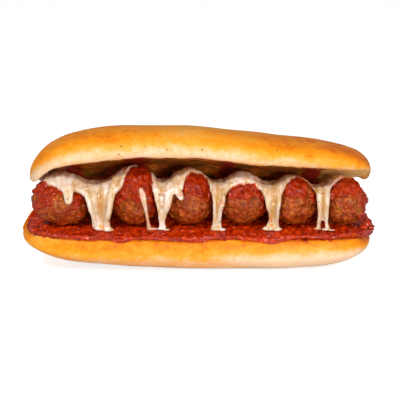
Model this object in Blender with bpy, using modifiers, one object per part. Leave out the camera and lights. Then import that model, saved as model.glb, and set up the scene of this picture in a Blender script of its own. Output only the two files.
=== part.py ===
"""Meatball submarine sandwich: a split roll, a bed of tomato sauce, six meatballs in a row,
and melted cheese draped over them, with one loose strand on the second ball.

Units are metres. +X runs along the roll, the open side faces -Y and +Z is up. The sandwich
lies on the flat of its bottom crust at z = 0.
"""

import math

import bmesh
import bpy
import numpy as np

GAP = 0.0004  # clearance kept between neighbouring pieces

# Roll, shared by both halves
HALF_WIDTH = 0.0375  # widest crust, from the middle of the roll
EDGE_INSET = 0.0025  # how far the cut edges lie inside the widest crust
CURL_START = 0.012  # the cut faces curl towards each other behind this line
CURL_POWER = 1.7

# Bottom half
BOTTOM_LEFT_X = -0.1325
BOTTOM_RIGHT_X = 0.1300
BOTTOM_TIP_Z = (0.0250, 0.0200)  # height of the left and right ends
BOTTOM_BLUNT = (6.0, 8.0)  # higher is squarer
BOTTOM_CUT_SLOPE = math.tan(math.radians(8.0))
BOTTOM_FRONT_EDGE_Z = 0.0266
BOTTOM_FRONT_WIDEST_Z = 0.0150
BOTTOM_BACK_WIDEST_Z = 0.0260
FLAT_DEPTH = 0.0012  # the round of the base goes this far below the table and is cut flat

# Top half
TOP_LEFT_X = -0.1260
TOP_RIGHT_X = 0.1296
TOP_TIP_Z = (0.0665, 0.0712)
TOP_BLUNT = (5.2, 8.0)
TOP_CUT_SLOPE = 19.5  # degrees, down towards the back
TOP_CUT_SLOPE_LEFT = 8.0  # near the left end, which is less open
TOP_CUT_DISH = 0.0036  # the crumb is pressed in over the filling
TOP_APEX_Y = -0.005
TOP_FRONT_BULGE = 0.0060  # height of the widest crust above the front edge
TOP_BACK_WIDEST_Z = 0.0600

# Sauce
SAUCE_TIP_Z = (0.0285, 0.0262)
SAUCE_LEFT_X = -0.1290
SAUCE_RIGHT_X = 0.1322
SAUCE_DEPTH = 0.0036
SAUCE_END_DEPTH = 0.35  # share of the full depth left at the very ends
SAUCE_BACK_SHARE = 0.5  # share of the full depth left at the back edge
SAUCE_BACK_MARGIN = 0.0060  # bread left bare behind the sauce
SAUCE_SHOULDER = 0.0070  # the sauce starts to round over this far behind the front edge
SAUCE_BULGE = 0.0030  # how far the hanging sauce stands in front of the edge
SAUCE_LIP = 0.0018  # height of the hanging lip's round end
SAUCE_WAVE = 0.0014  # height of the waves in its lower edge
SAUCE_ROOT = 0.0040  # the ribbon reaches this far into the bread, and the bread is cut out of it

# Meatballs
ROW_Y = -0.0120  # line of the meatball centres
BALL_SINK = 0.0022  # how far the balls sit in the sauce
BALL_LUMPS = 0.018  # height of the lumps, as a share of the radius

# Cheese
AXIS_Z = 0.0505  # height of the row's middle line, which the cheese is laid round
CHEESE_THICKNESS = 0.0022
CHEESE_CLEARANCE = 0.0012
CHEESE_LEFT_X = -0.1140
CHEESE_RIGHT_X = 0.1150
CHEESE_SAG_TOP = 0.0085
CHEESE_SAG_FRONT = 0.0022
CHEESE_FRONT_EDGE = 0.30  # where it ends between the runs, counted as in cheese_front
CHEESE_BACK_EDGE = 0.62
FOOT_BACK = 0.0045  # a run's foot is this far behind its front
FOOT_FLARE = 0.0050
FOOT_START = 0.70  # the foot spreads over the rest of the fall

# Where the cheese has run down in front: x, half width, and how far, as in cheese_front
CHEESE_RUNS = (
    (-0.0944, 0.0042, 1.00),
    (-0.0720, 0.0082, 2.00),
    (-0.0270, 0.0052, 2.00),
    (-0.0125, 0.0040, 0.90),
    (0.0140, 0.0056, 2.00),
    (0.0540, 0.0072, 2.00),
    (0.0915, 0.0058, 2.00),
)

# Loose strand on the second ball: its ends along the roll and round the ball from straight up
STRAND_RADIUS = 0.0017
STRAND_TOP_X, STRAND_FOOT_X = -0.0420, -0.0362
STRAND_TOP_ANGLE, STRAND_FOOT_ANGLE = 48, 128
STRAND_POINTS = 12
STRAND_TAPER = 0.55  # radius at the very top, as a share of STRAND_RADIUS

# x of the centre, then the radii along X, Y and Z, left to right
MEATBALLS = (
    (-0.1010, 0.0225, 0.0195, 0.0186),
    (-0.0470, 0.0192, 0.0200, 0.0212),
    (-0.0066, 0.0186, 0.0192, 0.0203),
    (0.0334, 0.0180, 0.0190, 0.0186),
    (0.0716, 0.0176, 0.0185, 0.0182),
    (0.1086, 0.0168, 0.0182, 0.0174),
)

STATIONS = 28  # sections along each half of the roll
SAUCE_STATIONS = 34
CHEESE_COLUMNS = 68
CHEESE_ROWS = 9


def smooth_through(points):
    """A smooth function of x through a few (x, value) points, with no overshoot, flat beyond its ends."""
    xs, values = np.array(points, float).T
    steps = np.diff(values) / np.diff(xs)
    slopes = np.zeros(len(xs))
    for i in range(1, len(xs) - 1):
        before, after = steps[i - 1], steps[i]
        if before * after > 0:
            slopes[i] = 2 * before * after / (before + after)

    def at(x):
        x = float(np.clip(x, xs[0], xs[-1]))
        i = int(np.clip(np.searchsorted(xs, x) - 1, 0, len(xs) - 2))
        width = xs[i + 1] - xs[i]
        t = (x - xs[i]) / width
        return (
            (2 * t**3 - 3 * t**2 + 1) * values[i]
            + (t**3 - 2 * t**2 + t) * width * slopes[i]
            + (3 * t**2 - 2 * t**3) * values[i + 1]
            + (t**3 - t**2) * width * slopes[i + 1]
        )

    return at


# How the sections change along the roll
boat_rise = smooth_through(
    ((-0.13, 0.0095), (-0.10, 0.0058), (-0.07, 0.0035), (-0.035, 0.0012), (0.0, 0.0),
     (0.05, 0.0), (0.08, 0.0012), (0.11, 0.0040), (0.13, 0.0060))
)
bottom_back_edge = smooth_through(((-0.13, 0.0550), (-0.095, 0.0490), (-0.06, 0.0462), (0.13, 0.0450)))
top_front_edge = smooth_through(
    ((-0.13, 0.0560), (-0.1215, 0.0625), (-0.114, 0.0744), (-0.105, 0.0804), (-0.0865, 0.0826),
     (-0.04, 0.0866), (-0.005, 0.0862), (0.03, 0.0828), (0.06, 0.0805), (0.09, 0.0790), (0.13, 0.0775))
)
top_crown = smooth_through(
    ((-0.13, 0.1025), (-0.09, 0.1045), (-0.06, 0.1060), (-0.01, 0.1056), (0.03, 0.1018),
     (0.08, 0.0965), (0.13, 0.0925))
)
top_cut_slope = smooth_through(((-0.125, TOP_CUT_SLOPE_LEFT), (-0.085, TOP_CUT_SLOPE)))
seam_gap = smooth_through(
    ((-0.13, 0.0300), (-0.12, 0.0140), (-0.11, 0.0080), (-0.10, 0.0040), (-0.085, 0.0012),
     (-0.07, 0.0007), (0.075, 0.0007), (0.09, 0.0014), (0.10, 0.0040), (0.11, 0.0100), (0.125, 0.0300))
)


def quarter(centre, reach, start, stop, count, power=2.3):
    """Points on a superellipse arc in the YZ plane, from angle start to stop in degrees."""
    points = []
    for t in np.radians(np.linspace(start, stop, count)):
        c, s = math.cos(t), math.sin(t)
        points.append(
            (
                centre[0] + reach[0] * math.copysign(abs(c) ** (2 / power), c),
                centre[1] + reach[1] * math.copysign(abs(s) ** (2 / power), s),
            )
        )
    return points


def flank(start, stop, count):
    """Points strictly between two heights, where the crust eases from start to stop."""
    shares = np.linspace(0, 1, count + 2)[1:-1]
    return [
        (start[0] + (stop[0] - start[0]) * t**2, start[1] + (stop[1] - start[1]) * t) for t in shares
    ]


def curl(y):
    """0 on the flat of a cut face, rising to 1 at its back edge."""
    reach = HALF_WIDTH - EDGE_INSET - CURL_START
    return max(0.0, (y - CURL_START) / reach) ** CURL_POWER


def cut_face(height, count):
    """Points of a cut face from its back edge to its front edge, edges included."""
    edge = HALF_WIDTH - EDGE_INSET
    return [(y, height(y)) for y in np.linspace(edge, -edge, count)]


def bottom_cut_height(x, y):
    """Height of the bottom half's cut face before the ends are drawn in."""
    edge = HALF_WIDTH - EDGE_INSET
    flat = BOTTOM_FRONT_EDGE_Z + BOTTOM_CUT_SLOPE * (y + edge)
    flat_at_back = BOTTOM_FRONT_EDGE_Z + BOTTOM_CUT_SLOPE * 2 * edge
    return flat + (bottom_back_edge(x) - flat_at_back) * curl(y)


def bottom_section(x):
    edge = HALF_WIDTH - EDGE_INSET
    base = boat_rise(x) - FLAT_DEPTH
    front = (0.0, BOTTOM_FRONT_WIDEST_Z)
    back = (0.0, BOTTOM_BACK_WIDEST_Z)
    under = quarter(front, (HALF_WIDTH, BOTTOM_FRONT_WIDEST_Z - base), 180, 270, 7)
    under += quarter(back, (HALF_WIDTH, BOTTOM_BACK_WIDEST_Z - base), 270, 360, 7)[1:]
    up_back = flank(under[-1], (edge, bottom_back_edge(x)), 2)
    cut = cut_face(lambda y: bottom_cut_height(x, y), 11)
    down_front = flank(under[0], cut[-1], 2)[::-1]
    return under + up_back + cut + down_front


def end_scale(u, blunt):
    return max(0.0, 1 - abs(u) ** blunt) ** 0.5


def ends(x, left, right, tip_z, blunt):
    """Tip height at x, and how much of the full section is left there."""
    u = (2 * x - left - right) / (right - left)
    share = (u + 1) / 2
    tip = tip_z[0] * (1 - share) + tip_z[1] * share
    power = blunt[0] if u < 0 else blunt[1]
    return tip, end_scale(u, power)


def bottom_ends(x):
    return ends(x, BOTTOM_LEFT_X, BOTTOM_RIGHT_X, BOTTOM_TIP_Z, BOTTOM_BLUNT)


def top_ends(x):
    return ends(x, TOP_LEFT_X, TOP_RIGHT_X, TOP_TIP_Z, TOP_BLUNT)


def top_back_edge(x):
    """The top half's back edge before its ends are drawn in, a seam's width above the bottom's."""
    bottom_tip, bottom_scale = bottom_ends(x)
    seam = bottom_tip + (bottom_back_edge(x) - bottom_tip) * bottom_scale + seam_gap(x)
    tip, scale = top_ends(x)
    return tip + (seam - tip) / max(scale, 0.5)


def top_cut_height(x, y):
    """Height of the top half's cut face before its ends are drawn in."""
    edge = HALF_WIDTH - EDGE_INSET
    slope = math.tan(math.radians(top_cut_slope(x)))
    flat = top_front_edge(x) - slope * (y + edge) + TOP_CUT_DISH * (1 - (y / edge) ** 2)
    flat_at_back = top_front_edge(x) - slope * 2 * edge
    return flat + (top_back_edge(x) - flat_at_back) * curl(y)


def top_section(x):
    edge = HALF_WIDTH - EDGE_INSET
    front_z = top_front_edge(x) + TOP_FRONT_BULGE
    crown = top_crown(x)
    back = (TOP_APEX_Y, TOP_BACK_WIDEST_Z)
    front = (TOP_APEX_Y, front_z)
    over = quarter(back, (HALF_WIDTH - TOP_APEX_Y, crown - TOP_BACK_WIDEST_Z), 0, 90, 8)
    over += quarter(front, (HALF_WIDTH + TOP_APEX_Y, crown - front_z), 90, 180, 7)[1:]
    down_front = flank(over[-1], (-edge, top_front_edge(x)), 1)
    cut = cut_face(lambda y: top_cut_height(x, y), 11)[::-1]
    up_back = flank(over[0], cut[-1], 2)[::-1]
    return over + down_front + cut + up_back


def roll_rings(section, end_shape, left, right):
    """Sections along a half, drawn in towards its two tips and closer together there."""
    rings = []
    for turn in np.linspace(-0.5, 0.5, STATIONS + 2)[1:-1]:
        u = math.sin(math.pi * turn)
        x = (left + right) / 2 + u * (right - left) / 2
        tip, scale = end_shape(x)
        rings.append([(x, y * scale, max(0.0, tip + (z - tip) * scale)) for y, z in section(x)])
    return rings


def finish_object(name, mesh, material):
    """Turns a bmesh into a named object, smooth apart from its cut edges."""
    data = bpy.data.meshes.new(name)
    mesh.to_mesh(data)
    mesh.free()
    data.shade_smooth()
    data.set_sharp_from_angle(angle=math.radians(45))
    data.materials.append(material)
    obj = bpy.data.objects.new(name, data)
    sandwich.objects.link(obj)
    return obj


def loft(name, rings, material):
    """One closed skin over a row of rings with the same number of points, with capped ends."""
    mesh = bmesh.new()
    rows = [[mesh.verts.new(point) for point in ring] for ring in rings]
    count = len(rows[0])
    for near, far in zip(rows, rows[1:]):
        for i in range(count):
            j = (i + 1) % count
            mesh.faces.new((near[i], near[j], far[j], far[i]))
    mesh.faces.new(rows[0])
    mesh.faces.new(rows[-1])
    bmesh.ops.recalc_face_normals(mesh, faces=mesh.faces)
    return finish_object(name, mesh, material)


def material(name, colour, roughness):
    made = bpy.data.materials.new(name)
    made.use_nodes = True
    shader = made.node_tree.nodes["Principled BSDF"]
    shader.inputs["Base Color"].default_value = (*colour, 1.0)
    shader.inputs["Roughness"].default_value = roughness
    shader.inputs["Metallic"].default_value = 0.0
    made.diffuse_color = (*colour, 1.0)
    return made


def ball_radius(index, direction):
    """Radius of a meatball along a unit direction: an ellipsoid with a few hand-rolled lumps."""
    _, rx, ry, rz = MEATBALLS[index]
    x, y, z = direction
    smooth = 1 / math.sqrt((x / rx) ** 2 + (y / ry) ** 2 + (z / rz) ** 2)
    phase = 1.7 * index
    lump = math.sin(4.1 * x + phase) * math.cos(3.3 * z - phase) + math.sin(3.7 * y + 2 * phase + 2.2 * z)
    return smooth * (1 + BALL_LUMPS * lump)


def cut_plane_distance(point):
    """Distance above the flat of the bottom half's cut face."""
    _, y, z = point
    edge = HALF_WIDTH - EDGE_INSET
    rise = z - (BOTTOM_FRONT_EDGE_Z + BOTTOM_CUT_SLOPE * (y + edge))
    return rise / math.hypot(1, BOTTOM_CUT_SLOPE)


def unit(vector):
    return np.array(vector, float) / np.linalg.norm(vector)


def ball_centre(index):
    """Where a ball rests: just short of the bread, pressed a little into the sauce."""
    down = unit((0, BOTTOM_CUT_SLOPE, -1))
    low = ball_radius(index, down)
    height = low * 1.04 + SAUCE_DEPTH - BALL_SINK
    start = (MEATBALLS[index][0], ROW_Y, 0.0)
    rise = (height - cut_plane_distance(start)) * math.hypot(1, BOTTOM_CUT_SLOPE)
    return np.array((start[0], start[1], rise))


def meatball(index):
    mesh = bmesh.new()
    bmesh.ops.create_uvsphere(mesh, u_segments=20, v_segments=11, radius=1.0)
    centre = ball_centre(index)
    for vertex in mesh.verts:
        direction = unit(vertex.co)
        vertex.co = centre + direction * ball_radius(index, direction)
    return finish_object(f"meatball_{index + 1}", mesh, meat)


def swollen(obj, distance):
    """A hidden copy of an object, grown by a distance, for cutting its neighbours."""
    copy = obj.copy()
    copy.data = obj.data.copy()
    copy.name = obj.name + "_cutter"
    grow = copy.modifiers.new("grow", "DISPLACE")
    grow.direction = "NORMAL"
    grow.mid_level = 0.0
    grow.strength = distance
    copy.hide_render = True
    copy.display_type = "WIRE"
    cutters.objects.link(copy)
    return copy


def cut_by(obj, cutter):
    cut = obj.modifiers.new("clear_" + cutter.name, "BOOLEAN")
    cut.operation = "DIFFERENCE"
    cut.solver = "EXACT"
    cut.object = cutter


def sauce_lap(x):
    """How far the sauce hangs over the front edge of the bread, in uneven waves."""
    return SAUCE_WAVE * (math.cos(x * 116) + 0.25 * math.sin(x * 310) - 0.6)


def sauce_section(x):
    """A thick ribbon over the cut face whose front rolls down over the edge of the bread,
    as (y, height of the cut face, height of the sauce above it)."""
    edge = HALF_WIDTH - EDGE_INSET
    low = -sauce_lap(x)
    ribbon = []
    for y in np.linspace(edge - SAUCE_BACK_MARGIN, SAUCE_SHOULDER - edge, 7):
        ribbon.append((y, bottom_cut_height(x, y), SAUCE_DEPTH * (1 - (1 - SAUCE_BACK_SHARE) * curl(y))))
    ribbon += [
        (SAUCE_LIP / 2 - edge, BOTTOM_FRONT_EDGE_Z, SAUCE_DEPTH * 0.72),
        (SAUCE_BULGE * -0.8 - edge, BOTTOM_FRONT_EDGE_Z, SAUCE_DEPTH / 6),
        (-SAUCE_BULGE - edge, BOTTOM_FRONT_EDGE_Z, low - SAUCE_LIP * 0.4),
        (SAUCE_LIP / 2 - edge, BOTTOM_FRONT_EDGE_Z, low - SAUCE_LIP),
    ]
    for y in np.linspace(SAUCE_SHOULDER - edge, edge - SAUCE_BACK_MARGIN, 4):
        ribbon.append((y, bottom_cut_height(x, y), -SAUCE_ROOT))
    return ribbon


def sauce_rings():
    rings = []
    for turn in np.linspace(-0.5, 0.5, SAUCE_STATIONS + 2)[1:-1]:
        u = math.sin(math.pi * turn)
        x = (SAUCE_LEFT_X + SAUCE_RIGHT_X) / 2 + u * (SAUCE_RIGHT_X - SAUCE_LEFT_X) / 2
        tip, scale = ends(x, SAUCE_LEFT_X, SAUCE_RIGHT_X, SAUCE_TIP_Z, BOTTOM_BLUNT)
        full = min(1.0, SAUCE_END_DEPTH + 1.2 * scale)
        section = sauce_section(x)
        rings.append([(x, y * scale, tip + (z - tip) * scale + lift * full) for y, z, lift in section])
    return rings


def ball_reach(index, x, angle):
    """How far a ball reaches from the row's axis at x, at an angle forward of straight up."""
    centre = ball_centre(index)
    if abs(x - centre[0]) >= MEATBALLS[index][1] * 1.04:
        return 0.0
    low, high = 0.0, 0.04
    for _ in range(20):
        middle = (low + high) / 2
        point = np.array((x, ROW_Y - middle * math.sin(angle), AXIS_Z + middle * math.cos(angle)))
        offset = point - centre
        distance = float(np.linalg.norm(offset))
        inside = distance < ball_radius(index, offset / max(distance, 1e-9))
        low, high = (middle, high) if inside else (low, middle)
    return high


def drape_reach(x, angle):
    """How far the cheese's inner face stands from the row's axis: close over each ball, and
    slung between neighbours, deep on top and shallow down the front."""
    on_ball = max(ball_reach(i, x, angle) for i in range(len(MEATBALLS)))
    centres = [ball[0] for ball in MEATBALLS]
    left = int(np.clip(np.searchsorted(centres, x) - 1, 0, len(centres) - 2))
    right = left + 1
    share = float(np.clip((x - centres[left]) / (centres[right] - centres[left]), 0, 1))
    if share in (0, 1):
        return on_ball + CHEESE_CLEARANCE
    ease = share * share * (3 - 2 * share)
    tops = [ball_reach(i, centres[i], angle) for i in (left, right)]
    sag = CHEESE_SAG_TOP + (CHEESE_SAG_FRONT - CHEESE_SAG_TOP) * abs(math.sin(angle))
    slung = tops[0] * (1 - ease) + tops[1] * ease - sag * math.sin(math.pi * share) ** 2
    return max(on_ball, slung) + CHEESE_CLEARANCE


def cheese_front(x):
    """Where the cheese ends in front: 0 is the top of the row, 1 its front, 2 the sauce."""
    bare = CHEESE_FRONT_EDGE + 0.10 * math.sin(x * 61 + 1.0)
    reach = bare
    for centre, half_width, stop in CHEESE_RUNS:
        away = abs(x - centre) / half_width
        share = 1 / (1 + away**4)
        reach = max(reach, bare + (stop - bare) * share)
    return reach


def cheese_back(x):
    """Where the cheese ends behind, on the same scale."""
    return CHEESE_BACK_EDGE + 0.16 * math.sin(x * 73) + 0.08 * math.sin(x * 151 + 1.0)


def cheese_point(x, place):
    """A point of the cheese's inner face, place counted as in cheese_front and negative behind."""
    angle = math.radians(90) * min(place, 1.0)
    reach = drape_reach(x, angle)
    y = ROW_Y - reach * math.sin(angle)
    z = AXIS_Z + reach * math.cos(angle)
    fall = max(0.0, place - 1.0)
    if fall > 0:
        foot_z = BOTTOM_FRONT_EDGE_Z + BOTTOM_CUT_SLOPE * SAUCE_BACK_MARGIN + SAUCE_DEPTH + CHEESE_CLEARANCE
        flare = FOOT_FLARE * max(0.0, fall - FOOT_START) / (1 - FOOT_START)
        y, z = y + FOOT_BACK * fall - flare, z + (foot_z - z) * fall
    return (x, y, z)


def cheese_sheet():
    """An open sheet over the row, given its thickness outwards."""
    mesh = bmesh.new()
    bmesh.ops.create_grid(mesh, x_segments=CHEESE_COLUMNS, y_segments=CHEESE_ROWS, size=0.5)
    for vertex in mesh.verts:
        x = CHEESE_LEFT_X + (CHEESE_RIGHT_X - CHEESE_LEFT_X) * (vertex.co.x + 0.5)
        back, front = -cheese_back(x), cheese_front(x)
        vertex.co = cheese_point(x, front + (back - front) * (vertex.co.y + 0.5))
    made = finish_object("cheese", mesh, cheese)
    shell = made.modifiers.new("thickness", "SOLIDIFY")
    shell.thickness = CHEESE_THICKNESS
    shell.offset = 1.0
    return made


def loose_strand():
    """One thin strand of cheese that has run down the front of the second ball."""
    path = bpy.data.curves.new("cheese_strand", "CURVE")
    path.dimensions = "3D"
    path.bevel_depth = 1.0
    path.bevel_resolution = 2
    path.use_fill_caps = True
    line = path.splines.new("POLY")
    line.points.add(STRAND_POINTS - 1)
    for i, share in enumerate(np.linspace(0, 1, STRAND_POINTS)):
        x = STRAND_TOP_X + (STRAND_FOOT_X - STRAND_TOP_X) * share
        angle = math.radians(STRAND_TOP_ANGLE + (STRAND_FOOT_ANGLE - STRAND_TOP_ANGLE) * share)
        thick = STRAND_RADIUS * (STRAND_TAPER + (1 - STRAND_TAPER) * math.sin(math.pi * share))
        reach = ball_reach(1, x, angle) + thick + GAP * 2
        line.points[i].co = (x, ROW_Y - reach * math.sin(angle), AXIS_Z + reach * math.cos(angle), 1.0)
        line.points[i].radius = thick
    path.materials.append(cheese)
    strand = bpy.data.objects.new("cheese_strand", path)
    sandwich.objects.link(strand)
    return strand


def build():
    bread_bottom = loft(
        "bun_bottom", roll_rings(bottom_section, bottom_ends, BOTTOM_LEFT_X, BOTTOM_RIGHT_X), crust
    )
    loft("bun_top", roll_rings(top_section, top_ends, TOP_LEFT_X, TOP_RIGHT_X), crust)
    balls = [meatball(i) for i in range(len(MEATBALLS))]
    cheese_sheet()
    loose_strand()
    bed = loft("sauce_bed", sauce_rings(), sauce)
    for neighbour in [bread_bottom, *balls]:
        cut_by(bed, swollen(neighbour, GAP))


for old in list(bpy.data.objects):
    bpy.data.objects.remove(old)
sandwich = bpy.data.collections.new("meatball_sub")
cutters = bpy.data.collections.new("cutters")
bpy.context.scene.collection.children.link(sandwich)
bpy.context.scene.collection.children.link(cutters)
crust = material("crust", (0.85, 0.38, 0.07), 0.5)
meat = material("meat", (0.30, 0.07, 0.02), 0.45)
sauce = material("sauce", (0.42, 0.03, 0.008), 0.25)
cheese = material("cheese", (0.78, 0.55, 0.33), 0.35)
build()
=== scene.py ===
"""Finish of a meatball submarine sandwich: a soft split roll, tomato sauce, six meatballs and
melted cheese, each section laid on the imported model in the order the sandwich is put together.
"""

import math

import bmesh
import bpy
import numpy as np
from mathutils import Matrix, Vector, noise
from mathutils.bvhtree import BVHTree


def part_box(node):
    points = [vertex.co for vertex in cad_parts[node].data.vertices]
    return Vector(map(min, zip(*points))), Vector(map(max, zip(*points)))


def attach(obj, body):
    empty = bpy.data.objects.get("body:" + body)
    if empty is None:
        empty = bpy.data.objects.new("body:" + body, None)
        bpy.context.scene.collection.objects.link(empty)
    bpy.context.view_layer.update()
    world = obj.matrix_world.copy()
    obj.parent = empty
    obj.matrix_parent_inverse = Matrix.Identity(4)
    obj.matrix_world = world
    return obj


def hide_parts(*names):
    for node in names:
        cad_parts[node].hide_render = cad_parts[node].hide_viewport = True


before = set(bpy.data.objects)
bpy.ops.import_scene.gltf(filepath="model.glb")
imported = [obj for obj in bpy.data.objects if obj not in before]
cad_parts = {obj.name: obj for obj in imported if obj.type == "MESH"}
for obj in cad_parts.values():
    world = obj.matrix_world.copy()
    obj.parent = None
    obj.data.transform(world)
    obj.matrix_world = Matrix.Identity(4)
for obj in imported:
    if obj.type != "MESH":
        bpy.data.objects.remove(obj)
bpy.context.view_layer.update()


# ---- The roll ----
# A soft white-flour roll, baked golden brown on top and paler down its sides. It is sliced along
# its length, and the two halves lie open like a mouth over the filling, closest at the back.

bottom_low, bottom_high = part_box("bun_bottom")
top_low, top_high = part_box("bun_top")
HALF_WIDTH = (bottom_high.y - bottom_low.y) / 2
CUT_EDGE = HALF_WIDTH - 0.0025  # the cut edges lie a little inside the widest crust
CURL_START = 0.012
CURL_POWER = 1.7

BOTTOM_TIP_Z = (0.0250, 0.0200)
BOTTOM_BLUNT = (6.0, 8.0)
BOTTOM_SLOPE = math.tan(math.radians(8.0))
BOTTOM_EDGE_Z = 0.0266
BOTTOM_FRONT_WIDEST_Z = 0.0150
BOTTOM_BACK_WIDEST_Z = 0.0260
FLAT_DEPTH = 0.0012

TOP_TIP_Z = (0.0665, 0.0712)
TOP_BLUNT = (5.2, 8.0)
TOP_DISH = 0.0036
TOP_APEX_Y = -0.005
TOP_BULGE = 0.0060
TOP_BACK_WIDEST_Z = 0.0600

LOFT_SHORT = 0.0007  # a loft's last ring stops this far inside its end
ROLL_STATIONS = 250
CUT_POINTS = 44
TIP_ROUND = 0.011  # the sliced edges are rounder over this length at both ends
TIP_SOFTENING = 16
# Width and height of the crust's waves and dents, and of the holes torn in the crumb
CRUST_WAVE = (0.030, 0.0007)
CRUST_DENTS = (0.0055, 0.00016)
CRUMB_HOLES = (0.0045, 0.0007)
STILL_BELOW = 0.004  # the crust settles flat towards the table over this height


def smooth_through(points):
    """A smooth function through a few (x, value) points, with no overshoot, flat beyond its ends."""
    xs, values = np.array(points, float).T
    widths = np.diff(xs)
    steps = np.diff(values) / widths
    slopes = np.zeros(len(xs))
    for i in range(1, len(xs) - 1):
        if steps[i - 1] * steps[i] > 0:
            slopes[i] = 2 * steps[i - 1] * steps[i] / (steps[i - 1] + steps[i])

    def at(x):
        x = np.clip(x, xs[0], xs[-1])
        i = np.clip(np.searchsorted(xs, x) - 1, 0, len(xs) - 2)
        t = (x - xs[i]) / widths[i]
        return (
            (2 * t**3 - 3 * t**2 + 1) * values[i]
            + (t**3 - 2 * t**2 + t) * widths[i] * slopes[i]
            + (3 * t**2 - 2 * t**3) * values[i + 1]
            + (t**3 - t**2) * widths[i] * slopes[i + 1]
        )

    return at


boat_rise = smooth_through(
    ((-0.13, 0.0095), (-0.10, 0.0058), (-0.07, 0.0035), (-0.035, 0.0012), (0.0, 0.0),
     (0.05, 0.0), (0.08, 0.0012), (0.11, 0.0040), (0.13, 0.0060))
)
bottom_back_edge = smooth_through(((-0.13, 0.0550), (-0.095, 0.0490), (-0.06, 0.0462), (0.13, 0.0450)))
top_front_edge = smooth_through(
    ((-0.13, 0.0560), (-0.1215, 0.0625), (-0.114, 0.0744), (-0.105, 0.0804), (-0.0865, 0.0826),
     (-0.04, 0.0866), (-0.005, 0.0862), (0.03, 0.0828), (0.06, 0.0805), (0.09, 0.0790), (0.13, 0.0775))
)
top_crown = smooth_through(
    ((-0.13, 0.1025), (-0.09, 0.1045), (-0.06, 0.1060), (-0.01, 0.1056), (0.03, 0.1018),
     (0.08, 0.0965), (0.13, 0.0925))
)
top_cut_slope = smooth_through(
    ((-0.125, math.tan(math.radians(8.0))), (-0.085, math.tan(math.radians(19.5))))
)
# The halves touch along the middle of the back and part towards both ends
seam_gap = smooth_through(
    ((-0.13, 0.0300), (-0.12, 0.0140), (-0.11, 0.0080), (-0.104, 0.0020), (-0.097, -0.0030),
     (0.098, -0.0030), (0.104, 0.0030), (0.11, 0.0085), (0.125, 0.0270))
)


def ease(low, high, value):
    t = np.clip((value - low) / (high - low), 0, 1)
    return t * t * (3 - 2 * t)


def arc(centre, reach, start, stop, count, power=2.3):
    t = np.radians(np.linspace(start, stop, count))
    y = centre[0] + reach[0] * np.sign(np.cos(t)) * np.abs(np.cos(t)) ** (2 / power)
    z = centre[1] + reach[1] * np.sign(np.sin(t)) * np.abs(np.sin(t)) ** (2 / power)
    return list(zip(y, z))


def flank(start, stop, count):
    shares = np.linspace(0, 1, count + 2)[1:-1]
    return [(start[0] + (stop[0] - start[0]) * t**2, start[1] + (stop[1] - start[1]) * t) for t in shares]


def curl(y):
    return np.maximum(0.0, (y - CURL_START) / (CUT_EDGE - CURL_START)) ** CURL_POWER


def bottom_cut_height(x, y):
    flat = BOTTOM_EDGE_Z + BOTTOM_SLOPE * (y + CUT_EDGE)
    return flat + (bottom_back_edge(x) - BOTTOM_EDGE_Z - BOTTOM_SLOPE * 2 * CUT_EDGE) * curl(y)


def ends(x, low, high, tip_z, blunt):
    """Tip height at x, and how much of the full section is left there."""
    u = np.clip((2 * x - low - high) / (high - low), -1, 1)
    tip = tip_z[0] + (tip_z[1] - tip_z[0]) * (u + 1) / 2
    return tip, max(0.0, 1 - abs(u) ** blunt[0 if u < 0 else 1]) ** 0.5


def bottom_ends(x):
    return ends(x, BOTTOM_LEFT, BOTTOM_RIGHT, BOTTOM_TIP_Z, BOTTOM_BLUNT)


def top_ends(x):
    return ends(x, TOP_LEFT, TOP_RIGHT, TOP_TIP_Z, TOP_BLUNT)


BOTTOM_LEFT, BOTTOM_RIGHT = bottom_low.x - LOFT_SHORT, bottom_high.x + LOFT_SHORT
TOP_LEFT, TOP_RIGHT = top_low.x - LOFT_SHORT, top_high.x + LOFT_SHORT


def top_cut_height(x, y):
    bottom_tip, bottom_scale = bottom_ends(x)
    seam = bottom_tip + (bottom_back_edge(x) - bottom_tip) * bottom_scale + seam_gap(x)
    tip, scale = top_ends(x)
    back = tip + (seam - tip) / max(scale, 0.5)
    slope = top_cut_slope(x)
    flat = top_front_edge(x) - slope * (y + CUT_EDGE) + TOP_DISH * (1 - (y / CUT_EDGE) ** 2)
    return flat + (back - top_front_edge(x) + slope * 2 * CUT_EDGE) * curl(y)


def bottom_section(x):
    """Crust from the front edge down and round to the back edge, then the cut face to the front."""
    base = boat_rise(x) - FLAT_DEPTH
    front_reach = (HALF_WIDTH, BOTTOM_FRONT_WIDEST_Z - base)
    back_reach = (HALF_WIDTH, BOTTOM_BACK_WIDEST_Z - base)
    under = arc((0.0, BOTTOM_FRONT_WIDEST_Z), front_reach, 180, 270, 30)
    under += arc((0.0, BOTTOM_BACK_WIDEST_Z), back_reach, 270, 360, 24)[1:]
    down_front = flank(under[0], (-CUT_EDGE, BOTTOM_EDGE_Z), 8)[::-1]
    up_back = flank(under[-1], (CUT_EDGE, bottom_back_edge(x)), 8)
    cut = [(y, bottom_cut_height(x, y)) for y in np.linspace(CUT_EDGE, -CUT_EDGE, CUT_POINTS)]
    return down_front + under + up_back, cut


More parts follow.
